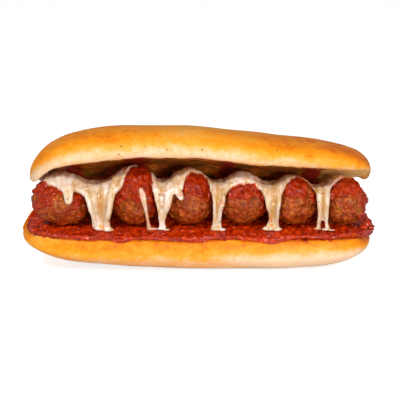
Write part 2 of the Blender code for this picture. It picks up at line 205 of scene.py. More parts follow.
def top_section(x):
    """Crust from the back edge over the crown to the front edge, then the cut face to the back."""
    front_z = top_front_edge(x) + TOP_BULGE
    crown = top_crown(x)
    back_reach = (HALF_WIDTH - TOP_APEX_Y, crown - TOP_BACK_WIDEST_Z)
    over = arc((TOP_APEX_Y, TOP_BACK_WIDEST_Z), back_reach, 0, 90, 28)
    over += arc((TOP_APEX_Y, front_z), (HALF_WIDTH + TOP_APEX_Y, crown - front_z), 90, 180, 28)[1:]
    cut = [(y, top_cut_height(x, y)) for y in np.linspace(-CUT_EDGE, CUT_EDGE, CUT_POINTS)]
    down_front = flank(over[-1], cut[0], 6)
    up_back = flank(over[0], cut[-1], 10)[::-1]
    return up_back + over + down_front, cut


def lumps(points, size, depth=3, seed=0.0):
    """Soft uneven lumps between about -1 and 1 at each point. Size is the width of the widest."""
    shift = Vector((seed * 7.1, seed * 3.7, seed * 5.3))
    return np.array([noise.fractal(Vector(p) / size + shift, 1.0, 2.0, depth) for p in points])


def pits(points, size, seed=0.0):
    """0 in the middle of a rounded grain, 1 where grains meet."""
    shift = Vector((seed * 5.9, seed * 2.3, seed * 8.7))
    found = np.array([noise.voronoi(Vector(p) / size + shift)[0][:2] for p in points])
    return 1 - np.clip((found[:, 1] - found[:, 0]) * 1.8, 0, 1)


def mesh_piece(name, points, faces, marks=None):
    """A smooth mesh object with named numbers on its points, which its material reads."""
    data = bpy.data.meshes.new(name)
    data.from_pydata([tuple(p) for p in points], [], faces)
    data.shade_smooth()
    piece = bpy.data.objects.new(name, data)
    bpy.context.scene.collection.objects.link(piece)
    for title, values in (marks or {}).items():
        mark(piece, title, values)
    return piece


def tube_faces(rows, count):
    """Faces of a skin over rows of rings, with its two ends closed."""
    faces = [
        (r * count + i, r * count + (i + 1) % count, (r + 1) * count + (i + 1) % count, (r + 1) * count + i)
        for r in range(rows - 1)
        for i in range(count)
    ]
    return faces + [tuple(range(count))[::-1], tuple(range((rows - 1) * count, rows * count))]


def face_out(piece):
    """Turns every face outwards."""
    mesh = bmesh.new()
    mesh.from_mesh(piece.data)
    bmesh.ops.recalc_face_normals(mesh, faces=mesh.faces)
    mesh.to_mesh(piece.data)
    mesh.free()
    piece.data.shade_smooth()


def normals_of(piece):
    found = np.zeros(len(piece.data.vertices) * 3, np.float32)
    piece.data.vertex_normals.foreach_get("vector", found)
    return found.reshape(-1, 3)


def points_of(piece):
    found = np.zeros(len(piece.data.vertices) * 3, np.float32)
    piece.data.vertices.foreach_get("co", found)
    return found.reshape(-1, 3)


def move_points(piece, points):
    piece.data.vertices.foreach_set("co", np.asarray(points, np.float32).ravel())
    piece.data.update()


def mark(piece, name, values):
    """Writes a named number on each point, for the material to read."""
    layer = piece.data.attributes.get(name) or piece.data.attributes.new(name, "FLOAT", "POINT")
    layer.data.foreach_set("value", np.asarray(values, np.float32))


def marks_of(piece, name):
    found = np.zeros(len(piece.data.vertices), np.float32)
    piece.data.attributes[name].data.foreach_get("value", found)
    return found


def paint(red, green, blue):
    """A colour mixed on a 0 to 255 scale, as the shader counts it."""
    shares = np.array((red, green, blue)) / 255
    linear = np.where(shares <= 0.04045, shares / 12.92, ((shares + 0.055) / 1.055) ** 2.4)
    return (*(float(v) for v in linear), 1.0)


class Finish:
    """A material put together from few kinds of node, each placed by a short call."""

    def __init__(self, name, gloss, subsurface=0.0, specular=0.5):
        self.material = bpy.data.materials.new(name)
        self.material.use_nodes = True
        self.tree = self.material.node_tree
        self.shader = self.tree.nodes["Principled BSDF"]
        self.shader.inputs["Specular IOR Level"].default_value = specular
        self.shader.inputs["Subsurface Weight"].default_value = subsurface
        self.shader.inputs["Subsurface Scale"].default_value = 0.002
        self.shader.inputs["Subsurface Radius"].default_value = (1.0, 0.5, 0.25)
        self.shader.inputs["Roughness"].default_value = gloss
        self.place = self.tree.nodes.new("ShaderNodeTexCoord").outputs["Object"]

    def node(self, kind, **values):
        made = self.tree.nodes.new(kind)
        for key, value in values.items():
            setattr(made, key, value)
        return made

    def speckle(self, size, detail=4.0, rough=0.55, warp=0.0, stretch=(1, 1, 1)):
        """Noise with lumps of about this size in metres."""
        scaled = self.node("ShaderNodeMapping")
        scaled.inputs["Scale"].default_value = stretch
        self.tree.links.new(self.place, scaled.inputs["Vector"])
        made = self.node("ShaderNodeTexNoise")
        made.inputs["Scale"].default_value = 1 / size
        made.inputs["Detail"].default_value = detail
        made.inputs["Roughness"].default_value = rough
        made.inputs["Distortion"].default_value = warp
        self.tree.links.new(scaled.outputs["Vector"], made.inputs["Vector"])
        return made.outputs["Fac"]

    def grains(self, size):
        made = self.node("ShaderNodeTexVoronoi")
        made.inputs["Scale"].default_value = 1 / size
        self.tree.links.new(self.place, made.inputs["Vector"])
        return made.outputs["Distance"]

    def marked(self, name):
        return self.node("ShaderNodeAttribute", attribute_name=name).outputs["Fac"]

    def ramp(self, source, stops):
        """Colours along 0 to 1, or greys where a stop's colour is a number."""
        made = self.node("ShaderNodeValToRGB")
        while len(made.color_ramp.elements) < len(stops):
            made.color_ramp.elements.new(0.5)
        for element, (place, colour) in zip(made.color_ramp.elements, stops):
            element.position = place
            element.color = colour if isinstance(colour, tuple) else (colour, colour, colour, 1)
        self.tree.links.new(source, made.inputs["Fac"])
        return made.outputs["Color"]

    def sums(self, kind, first, second):
        made = self.node("ShaderNodeMath", operation=kind)
        for socket, value in zip(made.inputs, (first, second)):
            if isinstance(value, (int, float)):
                socket.default_value = value
            else:
                self.tree.links.new(value, socket)
        return made.outputs["Value"]

    def stir(self, source, speckle, share):
        """The source, made uneven by a speckle."""
        return self.sums("ADD", source, self.sums("MULTIPLY", self.sums("SUBTRACT", speckle, 0.5), share))

    def mix(self, share, first, second, blend="MIX"):
        made = self.node("ShaderNodeMix", data_type="RGBA", blend_type=blend)
        for key, value in (("Factor", share), ("A", first), ("B", second)):
            socket = [s for s in made.inputs if s.name == key and s.enabled][0]
            if isinstance(value, (int, float, tuple)):
                socket.default_value = value
            else:
                self.tree.links.new(value, socket)
        return [s for s in made.outputs if s.enabled][0]

    def colour(self, source):
        self.tree.links.new(source, self.shader.inputs["Base Color"])

    def gloss(self, source, low, high):
        made = self.node("ShaderNodeMapRange")
        made.inputs["To Min"].default_value = low
        made.inputs["To Max"].default_value = high
        self.tree.links.new(source, made.inputs["Value"])
        self.tree.links.new(made.outputs["Result"], self.shader.inputs["Roughness"])

    def bump(self, source, strength, depth):
        made = self.node("ShaderNodeBump")
        made.inputs["Strength"].default_value = strength
        made.inputs["Distance"].default_value = depth
        self.tree.links.new(source, made.inputs["Height"])
        before = self.shader.inputs["Normal"].links
        if before:
            self.tree.links.new(before[0].from_socket, made.inputs["Normal"])
        self.tree.links.new(made.outputs["Normal"], self.shader.inputs["Normal"])


def lay(piece, finish, slot, *nodes):
    """The piece gets its finish, and takes the place of its plain solids in the one body."""
    piece.data.materials.append(finish.material)
    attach(piece, "root")
    if nodes:
        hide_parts(*nodes)


def roll_half(name, section, end_shape, low, high, bake_at):
    """One half of the roll, with marks for how brown its crust is and where its crumb shows."""
    points, bake, crumb = [], [], []
    for turn in np.linspace(-0.5, 0.5, ROLL_STATIONS + 2)[1:-1]:
        u = math.sin(math.pi * turn)
        x = (low + high) / 2 + u * (high - low) / 2
        tip, scale = end_shape(x)
        outside, cut = section(x)
        ring = [*outside, *cut[1:-1]]
        points += [(x, y * scale, max(0.0, tip + (z - tip) * scale)) for y, z in ring]
        bake += [bake_at(x, y, z) for y, z in ring]
        crumb += [0.0] * len(outside) + [1.0] * (len(cut) - 2)
    piece = mesh_piece(name, points, tube_faces(ROLL_STATIONS, len(ring)), {"bake": bake, "crumb": crumb})
    face_out(piece)
    xs = points_of(piece)[:, 0]
    tips = piece.vertex_groups.new(name="tips")
    for i in np.nonzero((xs < low + TIP_ROUND) | (xs > high - TIP_ROUND))[0]:
        tips.add([int(i)], float(ease(TIP_ROUND, 0.2 * TIP_ROUND, min(xs[i] - low, high - xs[i]))), "REPLACE")
    for name, group, times in (("soft edge", "", 2), ("round tips", "tips", TIP_SOFTENING)):
        soften = piece.modifiers.new(name, "SMOOTH")
        soften.vertex_group = group
        soften.factor = 0.5
        soften.iterations = times
    return piece


def weather_roll(piece, seed):
    """Waves and fine dents in the crust, and torn holes in the crumb."""
    points, out, crumb = points_of(piece), normals_of(piece), marks_of(piece, "crumb")
    wave = lumps(points, CRUST_WAVE[0], 2, seed) * CRUST_WAVE[1]
    dents = lumps(points * (0.55, 1, 1), CRUST_DENTS[0], 3, seed + 4) * CRUST_DENTS[1]
    width, depth = CRUMB_HOLES
    torn = -pits(points, width, seed) * depth + lumps(points, width * 2, 3, seed + 9) * depth
    move = wave + dents * (1 - crumb) + torn * crumb
    move_points(piece, points + out * (move * ease(0.0, STILL_BELOW, points[:, 2]))[:, None])


def bottom_bake(x, y, z):
    height = z / BOTTOM_EDGE_Z if y < 0 else z / bottom_back_edge(x)
    right = ease(-0.03, 0.08, x)
    paler = (0.26 + 0.42 * right) * ease(0.75 + 0.11 * right, 0.30 + 0.11 * right, height)
    paler *= ease(-0.12, -0.05, x)
    browner = 0.30 * ease(0.116, 0.126, x) - 0.14 * ease(-0.04, -0.10, x)
    return 0.60 + 0.22 * ease(0.30, 0.85, height) - paler + browner


def top_bake(x, y, z):
    edge = top_front_edge(x) + (TOP_BACK_WIDEST_Z - 0.012 - top_front_edge(x)) * ease(-0.02, 0.03, y)
    height = (z - edge) / (top_crown(x) - edge)
    browner = 0.12 * ease(0.05, 0.12, x) - 0.06 * ease(-0.08, -0.12, x)
    browner -= 0.24 * np.exp(-(((x + 0.006) / 0.034) ** 2)) * ease(0.4, 0.9, height)
    browner += 0.24 * ease(0.02, 0.07, x) * ease(0.7, 0.3, height)
    return 0.13 + 0.63 * ease(0.20, 0.80, height) + browner * ease(-0.3, 0.4, height)


crust = Finish("baked_crust", 0.5, subsurface=0.12, specular=0.22)
mottle = crust.speckle(0.013, 5, 0.66, warp=0.7, stretch=(0.6, 1, 1))
browned = crust.stir(crust.marked("bake"), mottle, 1.0)
browned = crust.stir(browned, crust.speckle(0.0052, 4, 0.7, warp=0.4), 0.55)
browned = crust.stir(browned, crust.speckle(0.0022, 3, 0.6), 0.35)
crust_colour = crust.ramp(
    browned,
    ((0.0, paint(238, 202, 164)), (0.25, paint(236, 182, 126)), (0.48, paint(238, 160, 48)),
     (0.72, paint(240, 142, 2)), (1.0, paint(214, 98, 0))),
)
open_crumb = crust.ramp(
    crust.speckle(0.004, 5, 0.7),
    ((0.30, paint(240, 152, 56)), (0.5, paint(254, 190, 92)), (0.7, paint(255, 220, 146))),
)
# Toasted, herb-buttered crumb colour, which also serves as painted shade where the crumb lies deep under the
# top half.
toasted_and_shaded = crust.ramp(
    crust.speckle(0.007, 5, 0.7, warp=0.8),
    ((0.30, paint(84, 44, 6)), (0.42, paint(116, 84, 14)), (0.54, paint(186, 84, 18)),
     (0.72, paint(232, 132, 40))),
)
smeared = crust.ramp(crust.speckle(0.005, 4, 0.6), ((0.3, paint(110, 18, 4)), (0.7, paint(190, 52, 10))))
crumb_colour = crust.mix(crust.marked("toast_and_shade"), open_crumb, toasted_and_shaded)
crumb_colour = crust.mix(crust.marked("smear"), crumb_colour, smeared)
crust.colour(crust.mix(crust.marked("crumb"), crust_colour, crumb_colour))
crust.gloss(mottle, 0.34, 0.60)
crust.bump(crust.speckle(0.0016, 4, 0.6), 0.16, 0.0004)
crust.bump(crust.speckle(0.006, 4, 0.6, stretch=(0.5, 1, 1)), 0.22, 0.0008)

bottom_half = roll_half("bottom_half", bottom_section, bottom_ends, BOTTOM_LEFT, BOTTOM_RIGHT, bottom_bake)
top_half = roll_half("top_half", top_section, top_ends, TOP_LEFT, TOP_RIGHT, top_bake)
UNSLICED = {"bottom_half": (-0.1225, 0.1240), "top_half": (-0.1120, 0.1300)}  # crust all round beyond
SAUCE_SMEARS = ((-0.046, 0.011), (0.086, 0.009), (0.022, 0.007), (-0.094, 0.009))  # x and half width
for half, seed in ((bottom_half, 1.0), (top_half, 2.0)):
    weather_roll(half, seed)
    spots = points_of(half)
    if half is top_half:
        patch = sum(np.exp(-(((spots[:, 0] - x) / width) ** 2)) for x, width in SAUCE_SMEARS)
        ragged = lumps(spots, 0.008, 4, 5.0)
        mark(half, "smear", ease(0.45, 0.75, patch + 0.5 * ragged))
        # Painted shade and light: the toasted colour darkens the crumb away from its front edge, deep under
        # the top half, and fades towards the right end, a painted lighter patch where light reaches under it.
        inward = ease(0.0, 0.010, spots[:, 1] + CUT_EDGE + 0.003 * ragged)
        toast_and_shade_share = 0.95 - 0.9 * ease(0.080, 0.106, spots[:, 0]) + 0.3 * ragged
        mark(half, "toast_and_shade", inward * ease(0.0, 0.9, toast_and_shade_share))
    else:
        mark(half, "smear", ease(0.1, 0.5, lumps(spots, 0.010, 4, 6.0)) * 0.7)
        mark(half, "toast_and_shade", np.zeros(len(spots)))
    ragged = 0.002 * lumps(spots, 0.008, 3, 5.0)
    left, right = UNSLICED[half.name]
    inside = np.minimum(spots[:, 0] - left, right - spots[:, 0]) + ragged
    mark(half, "crumb", marks_of(half, "crumb") * ease(-0.003, 0.0, inside))
lay(bottom_half, crust, "crust", "bun_bottom")
lay(top_half, crust, "crust", "bun_top")


# ---- The sauce ----
# Cooked tomato sauce with bits of pulp, spooned along the bottom half. It sinks a little into the
# crumb, and it has run over the front edge of the roll in waves.

sauce_low, sauce_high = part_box("sauce_bed")
SAUCE_LEFT, SAUCE_RIGHT = sauce_low.x - LOFT_SHORT, sauce_high.x + LOFT_SHORT
SAUCE_DEPTH = 0.0036
SAUCE_END_DEPTH = 0.35  # share of the depth left at both ends
SAUCE_BACK_MARGIN = 0.0060
SAUCE_SHOULDER = 0.0070
SAUCE_BULGE = 0.0030
SAUCE_LIP = 0.0018
SAUCE_TIP_Z = (0.0285, 0.0262)
SAUCE_ROOT = 0.0016
SAUCE_STATIONS = 420
PULP_SIZES = ((0.0085, 0.0009), (0.0040, 0.0011), (0.0018, 0.0004))  # width of the bits, height
PULP_BITS = 190
CLUMPS = ((0.1255, -0.020, 0.0345, 0.0034), (0.1225, -0.0235, 0.0330, 0.0028),
          (0.1285, -0.017, 0.0320, 0.0030), (-0.1215, -0.018, 0.0335, 0.0026))  # x, y, z and size
OVER_EDGE_POINTS = 14

# How far the sauce hangs over the front edge of the bread, above its round lip
sauce_wave = smooth_through(
    ((-0.115, -0.0018), (-0.081, -0.0006), (-0.068, -0.0016), (-0.057, 0.0012), (-0.0435, -0.0018),
     (-0.032, -0.0012), (-0.006, 0.0006), (0.0015, 0.0008), (0.012, -0.0022), (0.028, -0.0020),
     (0.043, 0.0004), (0.054, 0.0022), (0.064, -0.0004), (0.076, -0.0028), (0.099, -0.0018),
     (0.110, -0.0034))
)


def sauce_section(x):
    """A ribbon over the cut face whose front rolls over the edge, as (y, bread, sauce above it)."""
    low = -sauce_wave(x)
    top = [(y, bottom_cut_height(x, y), SAUCE_DEPTH * (1 - 0.5 * curl(y)))
           for y in np.linspace(CUT_EDGE - SAUCE_BACK_MARGIN, SAUCE_SHOULDER - CUT_EDGE, 46)]
    shoulder = (-CUT_EDGE + SAUCE_SHOULDER * 0.4, 0.0)
    reach = (SAUCE_SHOULDER * 0.4 + SAUCE_BULGE, SAUCE_DEPTH * 0.8)
    over = arc(shoulder, reach, 96, 172, OVER_EDGE_POINTS, 2.0)
    shares = np.linspace(0, 1, OVER_EDGE_POINTS)
    front = [(y, lift + low * ease(0, 1, share)) for (y, lift), share in zip(over, shares)]
    front += arc((-CUT_EDGE - SAUCE_BULGE * 0.2, low), (SAUCE_BULGE * 0.8, SAUCE_LIP), 180, 262, 9, 2.0)
    front = [(y, BOTTOM_EDGE_Z, lift) for y, lift in front]
    under = [(y, bottom_cut_height(x, y), -SAUCE_ROOT)
             for y in np.linspace(SAUCE_LIP / 2 - CUT_EDGE, CUT_EDGE - SAUCE_BACK_MARGIN - 0.001, 14)]
    return top + front + under


def sauce_bed():
    points = []
    for turn in np.linspace(-0.5, 0.5, SAUCE_STATIONS + 2)[1:-1]:
        u = math.sin(math.pi * turn) * 0.5 + turn
        x = (SAUCE_LEFT + SAUCE_RIGHT) / 2 + u * (SAUCE_RIGHT - SAUCE_LEFT) / 2
        tip, scale = ends(x, SAUCE_LEFT, SAUCE_RIGHT, SAUCE_TIP_Z, BOTTOM_BLUNT)
        full = min(1.0, SAUCE_END_DEPTH + 1.2 * scale)
        ring = sauce_section(x)
        points += [(x, y * scale, tip + (z - tip) * scale + lift * full) for y, z, lift in ring]
    piece = mesh_piece("tomato_sauce", points, tube_faces(SAUCE_STATIONS, len(ring)))
    face_out(piece)
    points, out = points_of(piece), normals_of(piece)
    rise = np.zeros(len(points))
    for i, (size, height) in enumerate(PULP_SIZES):
        rise += lumps(points, size, 2, 11 + i) * height
    rise += (0.45 - pits(points, 0.0042, 3.0)) * 0.0010
    shown = ease(-0.5, 0.2, out[:, 2] - out[:, 1])
    move_points(piece, points + out * (rise * shown)[:, None])
    return piece


def plain_ball(fineness):
    """Points and faces of a round ball of radius 1, to be pulled into shape."""
    mesh = bmesh.new()
    bmesh.ops.create_icosphere(mesh, subdivisions=fineness, radius=1.0)
    points = [vertex.co.copy() for vertex in mesh.verts]
    faces = [tuple(v.index for v in face.verts) for face in mesh.faces]
    mesh.free()
    return points, faces


def pulp_bit(rng, centre, size):
    """One soft rounded bit of tomato, wider than it is high, as points and faces."""
    ball, faces = plain_ball(3)
    spread = size * rng.uniform((0.8, 0.7, 0.5), (1.5, 1.1, 0.8))
    turned = rng.uniform(0, math.pi)
    shift = Vector(rng.uniform(-50, 50, 3))
    points = []
    for point in ball:
        wobble = 1 + 0.35 * noise.fractal(point * 1.3 + shift, 1.0, 2.0, 2)
        x, y, z = (point[i] * spread[i] * wobble for i in range(3))
        across = x * math.cos(turned) - y * math.sin(turned)
        along = x * math.sin(turned) + y * math.cos(turned)
        points.append((centre[0] + across, centre[1] + along, centre[2] + z))
    return points, faces


def scatter(name, many):
    """One object out of many small (points, faces) bits."""
    points, faces = [], []
    for bit_points, bit_faces in many:
        start = len(points)
        points += bit_points
        faces += [tuple(start + i for i in face) for face in bit_faces]
    return mesh_piece(name, points, faces)


def pulp():
    rng = np.random.default_rng(41)
    bits = []
    while len(bits) < PULP_BITS:
        x = rng.uniform(SAUCE_LEFT + 0.006, SAUCE_RIGHT - 0.003)
        y = rng.uniform(-CUT_EDGE - 0.002, -CUT_EDGE + 0.020)
        tip, scale = ends(x, SAUCE_LEFT, SAUCE_RIGHT, SAUCE_TIP_Z, BOTTOM_BLUNT)
        z = tip + (bottom_cut_height(x, max(y, -CUT_EDGE)) - tip) * scale + SAUCE_DEPTH * 0.75
        if y < -CUT_EDGE + 0.001:
            z -= rng.uniform(0.001, 0.004)
        bits.append(pulp_bit(rng, (x, y * scale, z), rng.uniform(0.0010, 0.0021)))
    bits += [pulp_bit(rng, (x, y, z), size) for x, y, z, size in CLUMPS]
    return scatter("tomato_bits", bits)


tomato = Finish("cooked_tomato", 0.2, subsurface=0.15, specular=0.4)
tomato_tone = tomato.ramp(
    tomato.speckle(0.0045, 5, 0.7, warp=0.5),
    ((0.28, paint(92, 12, 0)), (0.44, paint(160, 30, 0)), (0.58, paint(196, 50, 2)),
     (0.74, paint(230, 100, 18))),
)
tomato_bits = tomato.ramp(tomato.grains(0.0026), ((0.1, 0.72), (0.5, 1.0)))
tomato.colour(tomato.mix(0.8, tomato_tone, tomato_bits, "MULTIPLY"))
tomato.gloss(tomato.speckle(0.003, 3), 0.04, 0.34)
tomato.bump(tomato.speckle(0.0022, 4, 0.6), 0.5, 0.0006)
lay(sauce_bed(), tomato, "sauce", "sauce_bed")
lay(pulp(), tomato, "sauce")


# ---- The meatballs ----
# Six hand-rolled balls of coarse minced meat, browned and then stewed in the sauce, so that a
# thick cap of sauce clings to the top of each. They sit side by side, pressed a little in the bed.

BALL_LUMPS = ((0.016, 0.0014), (0.0064, 0.0013), (0.0030, 0.0006))  # width, height
BALL_TRIM = 0.0006  # taken off all round, to make room for the lumps
MINCE_SIZE = 0.0046
MINCE_CRACKS = 0.0005
MINCE_WARP = 0.0022  # how far the crumbs of mince are pulled out of shape
SAUCE_CAP_DEPTH = 0.0020
CAP_CREST = 1.5  # lumps of the cap flatten towards this many depths
CAP_RAGGED = 16  # degrees that its edge wanders

# Where sauce clings on each ball, seen from the front: degrees right, degrees up, and its reach
SAUCE_CAPS = (
    ((-44, 36, 34), (-60, -4, 19), (40, 16, 22), (0, 66, 44), (-26, 2, 13), (62, -8, 16)),
    ((0, 62, 47), (56, 14, 36), (-36, 8, 22), (62, -26, 20), (4, 12, 14)),
    ((16, 58, 43), (58, 26, 26), (-60, 10, 16), (-10, 22, 8)),
    ((4, 48, 35), (64, -20, 22), (-36, 28, 14), (50, 18, 16)),
    ((4, 52, 37), (54, 14, 16), (-50, 24, 14), (2, 24, 9)),
    ((4, 54, 40), (62, 10, 28), (-54, 30, 16), (66, -26, 20)),
)


def toward(right, up):
    right, up = math.radians(right), math.radians(up)
    return np.array((math.sin(right) * math.cos(up), -math.cos(right) * math.cos(up), math.sin(up)))


class Ball:
    """A meatball's ellipsoid, read from its plain solid."""

    def __init__(self, node):
        low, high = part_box(node)
        self.centre = np.array((low + high) / 2)
        self.reach = np.array((high - low) / 2)


balls = [Ball(f"meatball_{i + 1}") for i in range(6)]


def meatball(index):
    ball = balls[index]
    plain, faces = plain_ball(7)
    directions = np.array([point.normalized() for point in plain])
    smooth = 1 / np.sqrt(((directions / ball.reach) ** 2).sum(1))
    surface = directions * smooth[:, None]
    seed = 20 + index * 3
    rise = np.full(len(surface), -BALL_TRIM)
    for size, height in BALL_LUMPS:
        rise += lumps(surface, size, 2, seed + size * 100) * height
    pulled = [lumps(surface, 0.005, 3, seed + 40 + axis) * MINCE_WARP for axis in range(3)]
    cracks = pits(surface + np.stack(pulled, axis=-1), MINCE_SIZE, seed) ** 1.5
    clinging = np.zeros(len(directions))
    ragged = lumps(surface, 0.009, 4, seed + 1) * CAP_RAGGED
    for right, up, reach in SAUCE_CAPS[index]:
        away = np.degrees(np.arccos(np.clip(directions @ toward(right, up), -1, 1)))
        clinging = np.maximum(clinging, ease(0, 5, reach + ragged - away))
    pulpy = 0.75 + 0.9 * lumps(surface, 0.0058, 3, seed + 2)
    pulpy += 0.45 * (0.5 - pits(surface, 0.0046, seed + 2))
    rise -= MINCE_CRACKS * cracks * (1 - 0.75 * clinging)
    rise += clinging * SAUCE_CAP_DEPTH * CAP_CREST * np.tanh(np.maximum(pulpy, 0.25) / CAP_CREST)
    points = ball.centre + surface + directions * rise[:, None]
    # The cracks also carry a mark for the painted shade in them.
    marks = {"sauced": clinging, "shaded_crack": cracks * (1 - clinging)}
    return mesh_piece(f"browned_meatball_{index + 1}", points, faces, marks)


mince = Finish("browned_mince", 0.4, subsurface=0.1, specular=0.26)
mince_tone = mince.ramp(
    mince.speckle(0.0044, 5, 0.74, warp=0.4),
    ((0.30, paint(76, 30, 2)), (0.41, paint(140, 54, 6)), (0.51, paint(176, 74, 12)),
     (0.61, paint(204, 108, 28)), (0.74, paint(236, 164, 74))),
)
olive = mince.ramp(mince.speckle(0.0075, 3, warp=0.3), ((0.52, 0.0), (0.66, 0.6)))
mince_tone = mince.mix(olive, mince_tone, paint(128, 84, 8))
stewed = mince.ramp(mince.speckle(0.009, 3), ((0.40, 0.0), (0.65, 0.7)))
mince_tone = mince.mix(stewed, mince_tone, paint(160, 40, 4))
# Painted shade: the mince darkens where its crumbs meet, down in the cracks between them.
painted_crack_shade = mince.mix(0.4, mince_tone, paint(96, 30, 6), "MULTIPLY")
mince_tone = mince.mix(mince.marked("shaded_crack"), mince_tone, painted_crack_shade)
cap_tone = mince.ramp(
    mince.speckle(0.0042, 5, 0.70, warp=0.5),
    ((0.28, paint(84, 10, 0)), (0.45, paint(142, 28, 0)), (0.60, paint(170, 46, 4)),
     (0.78, paint(206, 88, 26))),
)
mince.colour(mince.mix(mince.marked("sauced"), mince_tone, cap_tone))
drier = mince.sums("SUBTRACT", 1.0, mince.sums("MULTIPLY", mince.marked("sauced"), 0.7))
mince.gloss(mince.sums("MULTIPLY", mince.speckle(0.0028, 3), drier), 0.04, 0.80)
mince.bump(mince.speckle(0.0020, 4, 0.6), 0.5, 0.0006)
for index in range(6):
    lay(meatball(index), mince, "meat", f"meatball_{index + 1}")


# ---- The cheese ----
# Slices of mild white cheese melted over the row. It has sunk between the meatballs, run down in
# front in five curtains and strands, and spread in small feet where it met the sauce.

cheese_low, cheese_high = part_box("cheese")
ROW_Y = float(np.mean([ball.centre[1] for ball in balls]))
AXIS_Z = 0.0505
SAGS = (0.0130, 0.0130, 0.0105, 0.0095, 0.0105)  # depth of each hollow between meatballs, on top
SAG_FRONT = 0.0022
SHEET_COLUMNS, SHEET_ROWS = 460, 90
SHEET_LIFT = 0.0026  # outer face above the plain balls
SHEET_SINK = 0.0006
SHEET_ROUND = 0.0030  # width of the rounded edge
SHEET_REACH = 0.020  # from the row's axis to the sheet
THICK_EDGE = (0.0022, 0.0016, 0.0009)  # how far in it lies, its half width and its height
MELT = 0.0016  # depth of the soft hollow where cheese leaves a ball
CURTAIN_LEAN = 0.0042  # feet stand this far behind the front of the row
FOOT_INSET = 0.006
CHEESE_VOXEL = 0.00056

# Where the sheet ends in front: x, and 0 on top of the row to 1 at its front
sheet_front = smooth_through(
    ((-0.1140, 0.25), (-0.1110, 0.42), (-0.1050, 0.56), (-0.0985, 0.66), (-0.0860, 0.68), (-0.0800, 0.86),
     (-0.0730, 1.05), (-0.0640, 0.88), (-0.0590, 0.68), (-0.0552, 0.56), (-0.0528, 0.26), (-0.0500, 0.05),
     (-0.0450, -0.15), (-0.0415, -0.48), (-0.0375, -0.48), (-0.0340, 0.30), (-0.0270, 0.78), (-0.0215, 0.74),
     (-0.0170, 0.66), (-0.0110, 0.62), (-0.0085, 0.28), (-0.0020, 0.10), (0.0060, 0.10), (0.0090, 0.50),
     (0.0130, 0.86), (0.0190, 0.86), (0.0235, 0.58), (0.0290, 0.46), (0.0400, 0.44), (0.0450, 0.52),
     (0.0490, 0.80), (0.0545, 0.98), (0.0590, 0.84), (0.0640, 0.50), (0.0690, 0.26), (0.0740, 0.06),
     (0.0800, 0.02), (0.0840, 0.30), (0.0880, 0.72), (0.0925, 0.84), (0.0965, 0.62), (0.1000, 0.34),
     (0.1060, 0.10), (0.1160, -0.05))
)


def sheet_back(x):
    """Where the sheet ends behind, on the same scale but counted backwards."""
    return 0.62 + 0.16 * np.sin(x * 73) + 0.08 * np.sin(x * 151 + 1.0)


def reach_of_ball(ball, x, angle):
    """How far the ball reaches from the row's axis, at an angle forward of straight up."""
    slope = np.array((np.sin(angle), np.cos(angle)))
    left_over = 1 - ((x - ball.centre[0]) / ball.reach[0]) ** 2
    y, z = ROW_Y - ball.centre[1], AXIS_Z - ball.centre[2]
    a = (slope[0] / ball.reach[1]) ** 2 + (slope[1] / ball.reach[2]) ** 2
    b = 2 * (-y * slope[0] / ball.reach[1] ** 2 + z * slope[1] / ball.reach[2] ** 2)
    c = (y / ball.reach[1]) ** 2 + (z / ball.reach[2]) ** 2 - left_over
    inside = b**2 - 4 * a * c
    return np.where(inside > 0, (-b + np.sqrt(np.maximum(inside, 0))) / (2 * a), 0.0)


def drape(x, angle):
    """Reach of the cheese: close on each ball, and slung between neighbours."""
    on_ball = np.max([reach_of_ball(ball, x, angle) for ball in balls], axis=0)
    centres = np.array([ball.centre[0] for ball in balls])
    left = np.clip(np.searchsorted(centres, x) - 1, 0, len(balls) - 2)
    share = np.clip((x - centres[left]) / (centres[left + 1] - centres[left]), 0, 1)
    tops = np.array([reach_of_ball(ball, ball.centre[0], angle) for ball in balls])
    along = np.arange(len(share))
    near, far = tops[left, along], tops[left + 1, along]
    deepest = np.array(SAGS)[left]
    sag = deepest + (SAG_FRONT - deepest) * np.abs(np.sin(angle))
    slung = near + (far - near) * ease(0, 1, share) - sag * np.sin(math.pi * share) ** 2
    slung = np.where((share <= 0) | (share >= 1), 0, slung)
    nearer = np.clip(0.5 + (on_ball - slung) / (2 * MELT), 0, 1)
    return slung + (on_ball - slung) * nearer + MELT * nearer * (1 - nearer)


def cheese_points(x, place, lift):
    """Points over the row: place runs from behind, over 0 on top and 1 in front, to 2 on the sauce."""
    x, place, lift = (np.atleast_1d(np.asarray(v, float)) for v in (x, place, lift))
    x, place, lift = np.broadcast_arrays(x, place, lift)
    angle = math.radians(90) * np.minimum(place, 1.0)
    reach = drape(x, angle) + lift
    y = ROW_Y - reach * np.sin(angle)
    z = AXIS_Z + reach * np.cos(angle)
    fall = np.maximum(0.0, place - 1.0)
    foot_z = BOTTOM_EDGE_Z + BOTTOM_SLOPE * FOOT_INSET + SAUCE_DEPTH
    return np.stack((x, y + CURTAIN_LEAN * fall, z + (foot_z - z) * fall), axis=-1)


